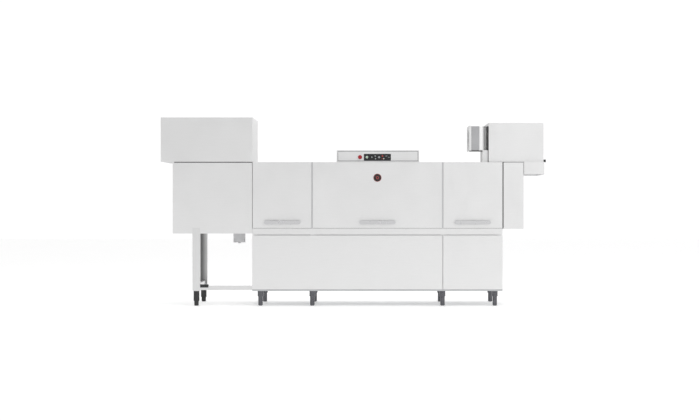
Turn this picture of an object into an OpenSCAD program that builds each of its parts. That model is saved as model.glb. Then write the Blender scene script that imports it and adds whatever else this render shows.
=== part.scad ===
// Rack-conveyor dishwasher: three wash modules, a drying tunnel at the exit end and a steam
// condenser at the entry end. Racks travel towards -X, the doors face -Y and +Z is up.

/* [Body] */
// Length of the three wash modules together
body_l = 2630; // [2600:10:2700]
// Depth of the casings from front to back
body_d = 780; // [780:10:820]
// Height of the roof above the floor
roof_z = 1508; // [1500:1:1530]
// Height of the underside of the base above the floor
base_z = 155; // [150:1:160]
// Length of the middle wash module
wash_l = 1370; // [1340:10:1400]
// Thickness of the folded sheet
sheet = 2; // [1.5:0.5:3]

/* [Doors] */
// Height of the bottom edge of the lift-up doors
door_z = 815; // [814:1:820]
// Thickness of a door
door_t = 38; // [34:1:42]
// Width of the gap between two doors
door_gap = 15; // [10:1:20]
// Length of a door handle
handle_l = 380; // [300:10:420]
// Height of a handle's centre above the floor
handle_z = 875; // [865:1:900]

/* [Passage] */
// Half of the clear width for racks
pass_y = 262; // [260:1:266]
// Top of the clear height for racks
pass_z1 = 1350; // [1300:5:1350]
// Height of the rack runners
rail_z = 868; // [866:1:872]

/* [Dryer] */
// Length of the drying tunnel
dryer_l = 834; // [800:2:860]
// Length of the blower casing above the tunnel
blower_l = 963; // [940:1:980]
// Top of the blower casing
blower_z1 = 1977; // [1900:1:2000]

/* [Condenser] */
// Distance from the body's centre to the condenser's left side
cond_x0 = 1171; // [1160:1:1190]
// Length of the condenser casing
cond_l = 577; // [560:1:600]
// Top of the condenser casing
cond_z1 = 1922; // [1880:1:1960]

/* [Controls] */
// Width of the control box
ctrl_w = 869; // [820:1:900]
// Top of the control box
ctrl_z1 = 1635; // [1630:1:1680]

/* [Drive] */
// Number of teeth on the drive pinion
pinion_teeth = 15; // [15:1:15]
// Gear module
gear_mod = 4; // [4:1:4]

/* [Hidden] */
$fn = 48;

// Clearance between solids that move past each other, and in running fits
gap = 0.3;
fit = 0.05;
// A cutter runs this far past the face that it opens
past = 1;

// Main planes, measured from the centre of the wash body
half_l = body_l / 2;
front_y = -body_d / 2;
rear_y = body_d / 2;
seam_x = wash_l / 2;
door_back_y = front_y + door_t;
post_y = door_back_y + 4;
inner_rear_y = rear_y - 40;
hood_z0 = 740;
roof_under_z = roof_z - 30;
base_top_z = base_z + 16;
floor_pan_z = base_z + 3;
pass_z0 = 812;
stroke = 150;
door_lift = 400;

// Ends of the whole machine; the origin lies midway between them
casing_x1 = -half_l + 3;
casing_x0 = casing_x1 - blower_l;
knob_x1 = cond_x0 + cond_l + 33;
shift_x = -(casing_x0 + knob_x1) / 2;

// Colours
steel = [0.86, 0.86, 0.86];
dull_steel = [0.72, 0.72, 0.73];
polished = [0.60, 0.60, 0.62];
black = [0.10, 0.10, 0.10];
rubber_grey = [0.24, 0.26, 0.28];
motor_blue = [0.32, 0.38, 0.44];
cast_grey = [0.50, 0.51, 0.52];
white_plastic = [0.90, 0.90, 0.88];

// ---------- shared shapes ----------

// Moves the wash body's frame to the machine's origin
module placed() {
    translate([shift_x, 0, 0]) children();
}

// Box between its lowest and highest corners
module block(lo, hi) {
    translate(lo) cube(hi - lo);
}

module rod_x(r, x0, x1, y, z) {
    translate([x0, y, z]) rotate([0, 90, 0]) cylinder(r = r, h = x1 - x0);
}

module rod_y(r, y0, y1, x, z) {
    translate([x, y1, z]) rotate([90, 0, 0]) cylinder(r = r, h = y1 - y0);
}

module rod_z(r, z0, z1, x, y) {
    translate([x, y, z0]) cylinder(r = r, h = z1 - z0);
}

// Plate that stands in the XZ plane, with rounded corners, from y0 to y1
module rounded_plate_y(x0, x1, z0, z1, y0, y1, r) {
    translate([0, y1, 0]) rotate([90, 0, 0]) linear_extrude(y1 - y0) {
        translate([x0 + r, z0]) square([x1 - x0 - 2 * r, z1 - z0]);
        if (z1 - z0 > 2 * r) translate([x0, z0 + r]) square([x1 - x0, z1 - z0 - 2 * r]);
        for (x = [x0 + r, x1 - r], z = [z0 + r, z1 - r]) translate([x, z]) circle(r = r);
    }
}

// Folded panel: a front skin with returns on its four edges, open at the back
module front_pan(x0, x1, z0, z1, y0, depth) {
    difference() {
        block([x0, y0, z0], [x1, y0 + depth, z1]);
        block([x0 + sheet, y0 + sheet, z0 + sheet], [x1 - sheet, y0 + depth + past, z1 - sheet]);
    }
}

// Bolt holes for a loading or clearing table, on the machine's end faces
table_bolt_y = 320;
table_bolt_z = [850, 1150];
table_bolt_r = 4.5;

// Double-skinned tunnel section round the rack passage; air = [x0, x1] opens its top, and
// table_x is the end that a table bolts to
module tunnel_shell(x0, x1, z0, z1, air, table_x) {
    difference() {
        block([x0, front_y, z0], [x1, rear_y, z1]);
        difference() {
            block([x0 + sheet, front_y + sheet, z0 + sheet],
                  [x1 - sheet, rear_y - sheet, z1 - sheet]);
            block([x0, -pass_y - sheet, pass_z0 - sheet],
                  [x1, pass_y + sheet, pass_z1 + sheet]);
        }
        block([x0 - past, -pass_y, pass_z0], [x1 + past, pass_y, pass_z1]);
        block([air[0], -180, pass_z1 - past], [air[1], 180, z1 + past]);
        for (y = [-table_bolt_y, table_bolt_y], z = table_bolt_z)
            rod_x(table_bolt_r, table_x - sheet - past, table_x + sheet + past, y, z);
    }
}

// Bearing blocks for a curtain rod, one at each side of the passage
module rod_blocks(x) {
    for (side = [-1, 1]) difference() {
        block([x - 8, side > 0 ? pass_y - 14 : -pass_y - 1, curtain_z - 10],
              [x + 8, side > 0 ? pass_y + 1 : -pass_y + 14, curtain_z + 10]);
        rod_y(curtain_r + fit, side > 0 ? pass_y - 15 : -pass_y + 3,
              side > 0 ? pass_y - 3 : -pass_y + 15, x, curtain_z);
    }
}

// ---------- base cabinet ----------

foot_x = [-half_l + 85, -seam_x, seam_x, half_l - 80];
foot_y = 345;
post_w = 40;

module base_frame() {
    color(dull_steel) placed() {
        difference() {
            block([-half_l, front_y + 2, base_z], [half_l, rear_y - 2, base_top_z]);
            block([-half_l + 3, front_y + 5, base_z + 3],
                  [half_l - 3, rear_y - 5, base_top_z + past]);
        }
        for (x = [-400, 400]) block([x - 20, front_y + 4, base_z + 2],
                                    [x + 20, rear_y - 4, base_top_z - 2]);
    }
}

module frame_posts() {
    color(dull_steel) placed() for (x = [-half_l + 30, -seam_x, seam_x, half_l - 30]) {
        for (y = [post_y + 6, inner_rear_y + 12]) difference() {
            top_z = y < 0 ? hood_z0 + 5 : hood_z0;
            block([x - post_w / 2, y - post_w / 2, base_z + 3],
                  [x + post_w / 2, y + post_w / 2, top_z]);
            block([x - post_w / 2 + sheet, y - post_w / 2 + sheet, base_z],
                  [x + post_w / 2 - sheet, y + post_w / 2 - sheet, top_z + past]);
        }
    }
}

// Levelling foot: outer sleeve, adjustable inner tube and a pad on the floor
module levelling_foot(x, y, top_z, sleeve_h, sleeve_r, tube_r) {
    rod_z(sleeve_r, top_z - sleeve_h, top_z, x, y);
    rod_z(tube_r, 6, top_z - sleeve_h, x, y);
    rod_z(tube_r - 3, 0, 6, x, y);
}

module main_feet() {
    color(polished) placed() for (x = foot_x, y = [-foot_y, foot_y])
        levelling_foot(x, y, base_z, 57, 31, 24);
}

module lower_panel_left() {
    color(steel) placed()
        front_pan(-half_l, seam_x - 3, base_top_z + 1, hood_z0, front_y, 24);
}

module lower_panel_right() {
    color(steel) placed()
        front_pan(seam_x + 5, half_l, base_top_z + 1, hood_z0, front_y, 24);
}

drain_x = 1000;
drain_z = 250;
inlet_x = -1180;
inlet_z = 300;
cable_x = -480;
cable_z = 600;
louvre_rows = 9;

module rear_end_panels() {
    z0 = base_top_z + 1;
    z1 = hood_z0 - 2;
    color(steel) placed() {
        difference() {
            union() for (span = [[-half_l + 4, -seam_x - 1], [-seam_x + 1, seam_x - 1],
                                 [seam_x + 1, half_l - 4]])
                block([span[0], rear_y - 5, z0], [span[1], rear_y - 2, z1]);
            rod_y(28, rear_y - 10, rear_y + 10, drain_x, drain_z);
            rod_y(16, rear_y - 10, rear_y + 10, inlet_x, inlet_z);
            rod_y(20, rear_y - 10, rear_y + 10, cable_x, cable_z);
            for (x = [-250, 150], row = [1 : louvre_rows])
                block([x, rear_y - 10, 300 + 24 * row], [x + 220, rear_y + 10, 306 + 24 * row]);
        }
        for (x = [-half_l, half_l - 3])
            block([x, front_y + 25, z0], [x + 3, rear_y - 2, z1]);
    }
}

// ---------- hood over the rack passage ----------

curtain_z = 1335;
curtain_r = 5;
groove_w = 14;
groove_y = post_y + 20;
drum_r = 25;
drum_y = post_y + 27;
drum_z = roof_under_z - 28;
drum_pin_r = 6;
door_x = [-1000, 0, 1000];
rinse_slider_x = [-half_l + 26, -seam_x - 30];
wash_slider_x = [-seam_x + 30, seam_x - 30];
prewash_slider_x = [seam_x + 30, half_l - 70];

// Post behind the doors' edges; the door slides run in its vertical grooves
module guide_post(x0, x1, grooves) {
    difference() {
        block([x0, post_y, hood_z0 + 5], [x1, post_y + 48, roof_z]);
        block([x0 + 3, groove_y + 6, hood_z0 + 4], [x1 - 3, post_y + 45, roof_z - 3]);
        for (x = grooves) block([x - groove_w / 2, post_y - past, door_z + 5],
                                [x + groove_w / 2, groove_y, roof_under_z - 1]);
    }
}

// Wall across the hood with the opening that racks pass through
module bulkhead(x0, x1) {
    difference() {
        block([x0, post_y + 3, hood_z0 + 10], [x1, inner_rear_y + past, roof_under_z + past]);
        block([x0 - past, -pass_y, pass_z0], [x1 + past, pass_y, pass_z1]);
    }
}

// Bracket and pin that carry a door's balance drum
module drum_bracket(x) {
    for (side = [-1, 1]) block([x + side * 28 - 2, post_y + 4, drum_z - 14],
                               [x + side * 28 + 2, post_y + 50, roof_under_z + past]);
    rod_x(drum_pin_r, x - 29, x + 29, drum_y, drum_z);
}

module tunnel_hood() {
    color(steel) placed() {
        // Roof and rear wall, folded from one double skin that is open at the bottom
        difference() {
            union() {
                block([-half_l, post_y + 3, roof_under_z], [half_l, rear_y - 2, roof_z]);
                block([-half_l, inner_rear_y, hood_z0], [half_l, rear_y - 2, roof_z]);
            }
            block([-half_l + sheet, post_y + 5, roof_under_z + sheet],
                  [half_l - sheet, rear_y - 4, roof_z - sheet]);
            block([-half_l + sheet, inner_rear_y + sheet, hood_z0 - past],
                  [half_l - sheet, rear_y - 4, roof_z - sheet]);
        }
        for (x = [-seam_x, seam_x]) {
            bulkhead(x - 2, x + 2);
            guide_post(x - 60, x + 60, [x - 30, x + 30]);
            rod_blocks(x);
        }
        bulkhead(-half_l, -half_l + 4);
        bulkhead(half_l - 4, half_l);
        guide_post(-half_l, -half_l + 52, [rinse_slider_x[0]]);
        guide_post(half_l - 96, half_l, [prewash_slider_x[1]]);
        // Rail below the doors, set back from their face
        front_pan(-half_l, half_l, hood_z0 + 5, door_z - 3, front_y + 12, 34);
        for (x = door_x) drum_bracket(x);
    }
}

// ---------- tanks ----------

tank_y0 = -299;
tank_y1 = 285;
tank_top = 806;

// Open tank with a rim that rests on the bulkheads; the lower arms' stub passes its rear wall
module open_tank(x0, x1, z0, drain, stub_x) {
    difference() {
        union() {
            block([x0, tank_y0, z0], [x1, tank_y1, tank_top]);
            block([x0 - 38, tank_y0, tank_top - 4], [x1 + 38, tank_y1, tank_top]);
        }
        block([x0 + sheet, tank_y0 + sheet, z0 + sheet],
              [x1 - sheet, tank_y1 - sheet, tank_top + past]);
        rod_z(22, z0 - past, z0 + sheet + past, drain[0], drain[1]);
        rod_y(arm_r + 1.5, tank_y1 - 2 * sheet, tank_y1 + past, stub_x, lower_arm_z);
    }
}

module wash_tank() {
    color(steel) placed()
        open_tank(-seam_x + 45, seam_x - 45, 430, [pump_x[0] - 90, 0], pump_x[0]);
}

module prewash_tank() {
    color(steel) placed()
        open_tank(seam_x + 45, half_l - 45, 480, [pump_x[1] - 90, 0], pump_x[1]);
}

module rinse_tray() {
    color(steel) placed() difference() {
        open_tank(-half_l + 45, -seam_x - 45, 700, [-1200, 200], boiler_x + 30);
        rod_z(22, 690, 710, gear_x, pinion_y);
    }
}

// Slotted tray that catches food scraps below the lower arms
module strainer(x0, x1) {
    slots = floor((x1 - x0 - 30) / 40);
    difference() {
        block([x0, tank_y0 + sheet, 690], [x1, tank_y1 - sheet, 693]);
        for (i = [0 : slots - 1], y = [-300, -110, 80])
            block([x0 + 20 + 40 * i, y, 680], [x0 + 40 + 40 * i, y + 160, 700]);
    }
}

module tank_strainers() {
    color(dull_steel) placed() {
        strainer(-seam_x + 45 + sheet, -1);
        strainer(1, seam_x - 45 - sheet);
        strainer(seam_x + 45 + sheet, half_l - 45 - sheet);
    }
}

// Three bent tube elements on one flange at the tank's front wall
module tank_heater() {
    color(dull_steel) placed() {
        for (x = [150, 210, 270]) {
            for (side = [-1, 1]) rod_y(5, tank_y0 + sheet, 180, x + 15 * side, 480);
            translate([x, 180, 480]) rotate_extrude(angle = 180) translate([15, 0]) circle(r = 5);
        }
        block([120, tank_y0 + sheet, 460], [300, tank_y0 + sheet + 6, 500]);
    }
}

// ---------- spray system ----------

arm_r = 12;
feed_r = 16;
lower_arm_z = 770;
upper_arm_z = 1395;
riser_y = 312;
riser_r = 17;
feed_y = 262;

// Row of spray tubes with one feeding tube behind them
module arm_grid(xs, z) {
    rod_x(feed_r, xs[0] - 30, xs[len(xs) - 1] + 30, feed_y, z);
    for (x = xs) rod_y(arm_r, -250, feed_y, x, z);
}

module spray_zone(xs, riser_x, riser_z0) {
    arm_grid(xs, lower_arm_z);
    arm_grid(xs, upper_arm_z);
    rod_z(riser_r, riser_z0, upper_arm_z + 25, riser_x, riser_y);
    // Slip joints: the arm sets pull off the riser for cleaning
    for (z = [lower_arm_z, upper_arm_z])
        rod_y(arm_r, feed_y, riser_y - riser_r - gap, riser_x, z);
}

module spray_arms() {
    color(dull_steel) placed() {
        spray_zone([-1120, -1000], boiler_x + 30, 645);
        spray_zone([-450, -150, 150, 450], pump_x[0], 390);
        spray_zone([850, 1000, 1150], pump_x[1], 390);
    }
}

pump_x = [-100, 1075];
pump_y = 180;
pump_z = 310;
shaft_r = 9;

// Volute with its suction and discharge pipes; the wheel turns in the hollow
module pump_casing(x, tank_z) {
    difference() {
        union() {
            rod_x(95, x - 35, x + 35, pump_y, pump_z);
            rod_x(22, x - 90, x - 34, pump_y, pump_z);
            rod_y(22, 0, pump_y, x - 90, pump_z);
            translate([x - 90, pump_y, pump_z]) sphere(r = 22);
            translate([x - 90, 0, pump_z]) sphere(r = 22);
            rod_z(22, pump_z, tank_z, x - 90, 0);
            rod_y(18, pump_y, riser_y, x, pump_z + 60);
            translate([x, riser_y, pump_z + 60]) sphere(r = 18);
            rod_z(18, pump_z + 60, 390, x, riser_y);
        }
        rod_x(85, x - 27, x + 27, pump_y, pump_z);
        rod_x(shaft_r + fit, x + 20, x + 40, pump_y, pump_z);
        rod_x(16, x - 80, x, pump_y, pump_z);
    }
}

module pump_casings() {
    color(cast_grey) placed() {
        pump_casing(pump_x[0], 430);
        pump_casing(pump_x[1], 480);
    }
}

// Motor with cooling ribs, a terminal box and a foot on the base tray
module pump_motor(x0) {
    difference() {
        union() {
            rod_x(62, x0, x0 + 200, pump_y, pump_z);
            for (i = [0 : 7]) rod_x(68, x0 + 20 + 20 * i, x0 + 26 + 20 * i, pump_y, pump_z);
            block([x0 + 60, pump_y - 35, pump_z + 55], [x0 + 140, pump_y + 35, pump_z + 100]);
            block([x0 + 30, pump_y - 60, floor_pan_z], [x0 + 170, pump_y + 60, pump_z - 50]);
        }
        rod_x(shaft_r + fit, x0 - past, x0 + 40, pump_y, pump_z);
    }
}

module pump_motors() {
    color(motor_blue) placed() for (x = pump_x) pump_motor(x + 35);
}

// Closed pump wheel with swept vanes, on its shaft
module impeller(x) {
    vanes = 6;
    translate([x, pump_y, pump_z]) rotate([0, 90, 0]) {
        translate([0, 0, -14]) cylinder(r = 18, h = 30);
        translate([0, 0, 10]) cylinder(r = 75, h = 5);
        for (i = [0 : vanes - 1]) rotate([0, 0, i * 360 / vanes]) translate([12, 0, -10])
            rotate([0, 0, 25]) cube([56, 4, 21]);
        cylinder(r = shaft_r, h = 72);
    }
}

module wash_impeller() {
    color(polished) placed() impeller(pump_x[0]);
}

module prewash_impeller() {
    color(polished) placed() impeller(pump_x[1]);
}

boiler_x = -1090;
boiler_y = -90;

module booster_boiler() {
    color(polished) placed() {
        rod_z(125, 215, 600, boiler_x, boiler_y);
        rod_z(90, 200, 620, boiler_x, boiler_y);
        for (a = [45 : 90 : 315]) translate([boiler_x, boiler_y, 0]) rotate([0, 0, a])
            block([80, -10, floor_pan_z], [110, 10, 216]);
        rod_z(12, 600, 645, boiler_x + 30, boiler_y);
        rod_y(12, boiler_y, riser_y, boiler_x + 30, 633);
        rod_z(12, 630, 645, boiler_x + 30, riser_y);
    }
}

module drain_pipe() {
    color(black) placed() difference() {
        union() {
            rod_z(25, drain_z, 480, drain_x, -100);
            translate([drain_x, -100, drain_z]) sphere(r = 25);
            rod_y(25, -100, rear_y + 2, drain_x, drain_z);
            rod_y(27, rear_y + 2, side_stub_y, drain_x, drain_z);
        }
        rod_y(21, -100, side_stub_y + past, drain_x, drain_z);
        rod_z(21, drain_z, 481, drain_x, -100);
    }
}

// Pipes end as far behind the body as the handles stand in front of it
handle_out = 42;
side_stub_y = rear_y + handle_out;

module water_inlet() {
    color([0.75, 0.62, 0.32]) placed() difference() {
        union() {
            rod_y(12, 120, rear_y + 2, inlet_x, inlet_z);
            rod_y(13.2, rear_y + 2, side_stub_y, inlet_x, inlet_z);
            block([inlet_x - 22, 220, inlet_z - 22], [inlet_x + 22, 290, inlet_z + 22]);
            rod_z(16, inlet_z, inlet_z + 70, inlet_x, 255);
            block([inlet_x - 15, 120, floor_pan_z], [inlet_x + 15, 150, inlet_z]);
        }
        rod_y(9, 180, side_stub_y + past, inlet_x, inlet_z);
    }
}

// ---------- rack conveyor ----------

carriage_half = 1230;
bar_y = 147;
bar_z0 = 824;
bar_z1 = 844;
pawl_x = [950, -200];
pinion_r = gear_mod * pinion_teeth / 2;
pitch_y = 160;
pinion_y = pitch_y + pinion_r;
gear_x = -850;
pressure = 20;

module conveyor_rails() {
    color(dull_steel) placed() for (side = [0, 1]) mirror([0, side, 0]) {
        x0 = casing_x1 - dryer_l + 5;
        x1 = half_l + 214;
        block([x0, pass_y - 22, rail_z - 5], [x1, pass_y, rail_z]);
        block([x0, pass_y - 3, pass_z0], [x1, pass_y, rail_z]);
        for (x = [-1150, -560, 0, 560, 1150])
            block([x - 15, bar_y - 12, bar_z0 - 8], [x + 15, pass_y - 2, bar_z0 - gap]);
    }
}

// Involute flank: angle in degrees swept off the base circle at radius r
function involute_angle(r, base) =
    let (t = sqrt(max(0, r * r / (base * base) - 1))) t * 180 / PI - atan(t);

// Spur gear outline with a tooth centred on +X
function gear_outline(teeth, m, backlash) =
    let (rp = m * teeth / 2, base = rp * cos(pressure), tip = rp + 0.9 * m, root = rp - 1.25 * m,
         half = 90 / teeth - backlash / rp * 90 / PI + involute_angle(rp, base),
         flank = [for (i = [0 : 5]) base + (tip - base) * i / 5])
    [for (k = [0 : teeth - 1])
        let (a = k * 360 / teeth)
        for (p = concat([[root, -half]], [for (r = flank) [r, -half + involute_angle(r, base)]],
                        [for (i = [5 : -1 : 0]) [flank[i], half - involute_angle(flank[i], base)]],
                        [[root, half]]))
            [p[0] * cos(a + p[1]), p[0] * sin(a + p[1])]];

// Straight rack teeth along X, facing +Y, on the pitch line y = 0
module rack_teeth(x0, count, m) {
    pitch = PI * m;
    lean = tan(pressure) * m;
    for (i = [0 : count - 1]) translate([x0 + i * pitch, 0])
        polygon([[-pitch / 4 - 1.25 * lean + 0.2, -1.25 * m], [-pitch / 4 + 0.9 * lean + 0.2, 0.9 * m],
                 [pitch / 4 - 0.9 * lean - 0.2, 0.9 * m], [pitch / 4 + 1.25 * lean - 0.2, -1.25 * m]]);
}

module drive_carriage() {
    tooth_pitch = PI * gear_mod;
    color(dull_steel) placed() {
        for (side = [-1, 1]) block([-carriage_half, side * bar_y - 8, bar_z0],
                                   [carriage_half, side * bar_y + 8, bar_z1]);
        for (x = pawl_x) {
            rod_y(8, -bar_y, bar_y, x, 834);
            block([x + 22, -bar_y, bar_z0 - 8], [x + 36, bar_y, bar_z0 - gap]);
            for (side = [-1, 1]) block([x + 22, side * bar_y - 8, bar_z0 - 8],
                                       [x + 36, side * bar_y + 8, bar_z0 + 1]);
        }
        for (x = [-carriage_half, carriage_half - 16])
            block([x, -bar_y, bar_z0 + 2], [x + 16, bar_y, bar_z1 - 2]);
        // A gap between two teeth sits at the pinion at rest
        translate([gear_x, pitch_y, bar_z0 + 2]) linear_extrude(14)
            rack_teeth(-3.5 * tooth_pitch, 19, gear_mod);
    }
}

module pawl(x) {
    translate([x, 0, 834]) difference() {
        union() {
            rod_y(13, -8, 8, 0, 0);
            translate([0, 8, 0]) rotate([90, 0, 0]) linear_extrude(16)
                polygon([[-11, 0], [-13, 46], [-5, 51], [3, 48], [11, 0]]);
            block([0, -8, -9.7], [38, 8, 4]);
        }
        rod_y(8 + fit, -9, 9, 0, 0);
    }
}

module front_pawl() {
    color(polished) placed() pawl(pawl_x[0]);
}

module rear_pawl() {
    color(polished) placed() pawl(pawl_x[1]);
}

module gearmotor() {
    color(motor_blue) placed() difference() {
        union() {
            rod_z(50, 430, 600, gear_x, pinion_y);
            block([gear_x - 60, pinion_y - 60, 600], [gear_x + 60, pinion_y + 60, 700]);
            block([gear_x + 55, pinion_y - 30, 620], [gear_x + 110, pinion_y + 30, 680]);
        }
        rod_z(10 + fit, 640, 701, gear_x, pinion_y);
    }
}

module drive_pinion() {
    color(polished) placed() translate([gear_x, pinion_y, 0]) {
        translate([0, 0, bar_z0 + 3]) linear_extrude(12)
            rotate([0, 0, -90]) polygon(gear_outline(pinion_teeth, gear_mod, 0.2));
        rod_z(10, 645, bar_z0 + 16, 0, 0);
    }
}

// ---------- doors ----------

// Door: outer pan, inner liner and four plastic slides in the posts' grooves
module lift_door(x0, x1, slides, tape_x) {
    front_pan(x0, x1, door_z, roof_z, front_y, door_t);
    block([x0 + past, door_back_y - 14, door_z + 12], [x1 - past, door_back_y - 12, roof_z - 12]);
    for (x = slides, z = [door_z + 20, door_z + 195])
        block([x - groove_w / 2 + gap, door_back_y - 13, z],
              [x + groove_w / 2 - gap, groove_y - gap, z + 65]);
    block([tape_x - 20, door_back_y - 13, 990], [tape_x + 20, door_back_y + 5, 1000]);
}

module rinse_door() {
    color(steel) placed()
        lift_door(casing_x1 + 3, -seam_x - door_gap / 2, rinse_slider_x, door_x[0]);
}

module wash_door() {
    color(steel) placed()
        lift_door(-seam_x + door_gap / 2, seam_x - door_gap / 2, wash_slider_x, door_x[1]);
}

module prewash_door() {
    color(steel) placed()
        lift_door(seam_x + door_gap / 2, half_l - 2, prewash_slider_x, door_x[2]);
}

// Bar handle on two standoffs
module door_handle(x) {
    color(polished) placed() {
        rounded_plate_y(x - handle_l / 2, x + handle_l / 2, handle_z - 19, handle_z + 19,
                        front_y - handle_out, front_y - 28, 18.9);
        for (side = [-1, 1]) rod_y(11, front_y - 29, front_y, x + side * 150, handle_z);
    }
}

module rinse_handle() {
    door_handle(door_x[0]);
}

module wash_handle() {
    door_handle(door_x[1]);
}

module prewash_handle() {
    door_handle(door_x[2]);
}

// Spring drum; its tape runs down the back of the door
module balance_drum(x) {
    color(black) placed() difference() {
        union() {
            rod_x(drum_r, x - 22, x - 18, drum_y, drum_z);
            rod_x(drum_r - 3, x - 18, x + 18, drum_y, drum_z);
            rod_x(drum_r, x + 18, x + 22, drum_y, drum_z);
        }
        rod_x(drum_pin_r + fit, x - 23, x + 23, drum_y, drum_z);
    }
}

module rinse_drum() {
    balance_drum(door_x[0]);
}

module wash_drum() {
    balance_drum(door_x[1]);
}

module prewash_drum() {
    balance_drum(door_x[2]);
}

// Strips of rubber on a rod; each strip hangs from the rod
module strip_curtain(x) {
    strips = 9;
    pitch = 486 / strips;
    color(rubber_grey) placed() {
        rod_y(curtain_r, -pass_y + 4, pass_y - 4, x, curtain_z);
        for (i = [0 : strips - 1])
            block([x - 1.5, -243 + i * pitch, 885], [x + 1.5, -243 + (i + 1) * pitch - 2, curtain_z]);
    }
}

module entry_curtain() {
    strip_curtain(half_l + 170);
}

module wash_curtain() {
    strip_curtain(seam_x);
}

module rinse_curtain() {
    strip_curtain(-seam_x);
}

module exit_curtain() {
    strip_curtain(casing_x1 - dryer_l + 25);
}

// ---------- drying tunnel ----------

dryer_x1 = casing_x1 - 3;
dryer_x0 = dryer_x1 - dryer_l;
dryer_z0 = 758;
tray_z = 819;
dryer_z1 = 1502;
casing_z0 = 1511;
air_x = [dryer_x0 + 200, dryer_x0 + 640];
leg_x = [-1942, -1862];
fan_x = -1740;

module dryer_tunnel() {
    x = casing_x1 - dryer_l + 25;
    color(steel) placed() {
        difference() {
            tunnel_shell(dryer_x0, dryer_x1, dryer_z0, dryer_z1, air_x, dryer_x0);
            // Fold line of the tray below the front wall
            block([dryer_x0 - past, front_y - past, tray_z], [dryer_x1 + past, front_y + 1, tray_z + 3]);
        }
        rod_blocks(x);
    }
}

module dryer_casing() {
    inset = 25;
    color(steel) placed() difference() {
        union() {
            block([casing_x0, front_y, casing_z0], [casing_x1, rear_y, blower_z1]);
            block([dryer_x0 + inset, front_y + inset, dryer_z1],
                  [dryer_x1 - inset, rear_y - inset, casing_z0 + past]);
        }
        block([casing_x0 + sheet, front_y + sheet, casing_z0 + sheet],
              [casing_x1 - sheet, rear_y - sheet, blower_z1 - sheet]);
        block([air_x[0], -180, dryer_z1 - past], [air_x[1], 180, casing_z0 + 2 * sheet]);
        // Air intake slots in the overhanging underside
        for (i = [0 : 11]) block([casing_x0 + 20, -330 + 56 * i, casing_z0 - past],
                                 [dryer_x0 - 20, -300 + 56 * i, casing_z0 + 2 * sheet]);
    }
}

// Channel-shaped legs, a rail between them and a front brace to the wash body
module dryer_leg_frame() {
    color(steel) placed() {
        for (side = [0, 1]) mirror([0, side, 0]) difference() {
            block([leg_x[0], front_y, base_z], [leg_x[1], front_y + 40, dryer_z0]);
            block([leg_x[0] + 3, front_y + 3, base_z + 3], [leg_x[1] - 3, front_y + 41, dryer_z0 + past]);
        }
        // The front leg's face laps over the tray of the tunnel
        block([leg_x[0], front_y - 1.5, base_z], [leg_x[1], front_y, tray_z]);
        block([leg_x[0] + 20, front_y + 2, 190], [leg_x[0] + 60, rear_y - 2, 230]);
        block([leg_x[1] - 10, front_y + 5, 165], [-half_l, front_y + 35, 211]);
    }
}

module dryer_feet() {
    color(black) placed() for (y = [front_y + 31, rear_y - 31])
        levelling_foot((leg_x[0] + leg_x[1]) / 2, y, base_z, 105, 31, 24);
}

// Radial blower wheel with backward blades
module dryer_fan() {
    blades = 10;
    color(dull_steel) placed() translate([fan_x, 0, 1560]) {
        cylinder(r = 180, h = 3);
        difference() {
            translate([0, 0, 97]) cylinder(r = 180, h = 3);
            translate([0, 0, 96]) cylinder(r = 62, h = 5);
        }
        for (i = [0 : blades - 1]) rotate([0, 0, i * 360 / blades]) translate([80, 0, 2])
            rotate([0, 0, -30]) cube([92, 3, 96]);
        cylinder(r = 30, h = 100);
        cylinder(r = 12, h = 180);
    }
}

module dryer_motor() {
    color(motor_blue) placed() difference() {
        union() {
            rod_z(90, 1700, 1890, fan_x, 0);
            for (i = [0 : 6]) rod_z(96, 1720 + 22 * i, 1726 + 22 * i, fan_x, 0);
            block([fan_x - 130, front_y + sheet, 1688], [fan_x + 130, rear_y - sheet, 1700]);
        }
        rod_z(12 + fit, 1680, 1745, fan_x, 0);
    }
}

// Finned heating coil in front of the intake
module fin_block(lo, hi, fins) {
    step = (hi[1] - lo[1]) / fins;
    for (i = [0 : fins]) translate([lo[0], lo[1] + i * step, lo[2]])
        cube([hi[0] - lo[0], 2, hi[2] - lo[2]]);
    for (z = [lo[2] + 50 : 80 : hi[2] - 40])
        rod_y(9, lo[1] - 15, hi[1] + 17, (lo[0] + hi[0]) / 2, z);
}

module dryer_heater() {
    color(dull_steel) placed() {
        fin_block([-2210, -300, 1560], [-2090, 300, 1840], 15);
        block([-2190, front_y + sheet, 1600], [-2110, -314, 1850]);
    }
}

module dryer_junction_box() {
    color(motor_blue) placed() {
        block([-1553, 90, 652], [-1433, 200, dryer_z0]);
        rod_z(14, 642, 652, -1493, 145);
    }
}

// ---------- entry hood, condenser and exhaust ----------

entry_x0 = half_l + 9;
entry_x1 = half_l + 219;
cond_x1 = cond_x0 + cond_l;
cond_z0 = 1511;
cond_y0 = front_y + 45;
steam_x = [entry_x0 + 30, entry_x1 - 40];

module entry_hood() {
    color(steel) placed() {
        difference() {
            tunnel_shell(entry_x0, entry_x1, 785, 1505, steam_x, entry_x1);
            block([entry_x0 - past, front_y - past, 780], [entry_x1 + past, rear_y + past, 806]);
        }
        // Neck between the hood and the wash body, set in from the outline
        difference() {
            block([half_l, front_y + 30, pass_z0 - 2], [entry_x0, rear_y - 30, 1480]);
            block([half_l - past, -pass_y, pass_z0], [entry_x0 + past, pass_y, pass_z1]);
        }
        rod_blocks(half_l + 170);
    }
}

// Steam canopy beyond the hood, open towards the condenser and at the bottom
module entry_canopy() {
    color(steel) placed() difference() {
        block([entry_x1 + 5, front_y, 1378], [cond_x1 + 4, rear_y, cond_z0]);
        block([entry_x1 + 5 + sheet, front_y + sheet, 1377], [cond_x1 + 4 - sheet, rear_y - sheet, cond_z0 - sheet]);
        block([entry_x1 + 40, -180, 1500], [cond_x1 - 60, 180, cond_z0 + past]);
    }
}

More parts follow.
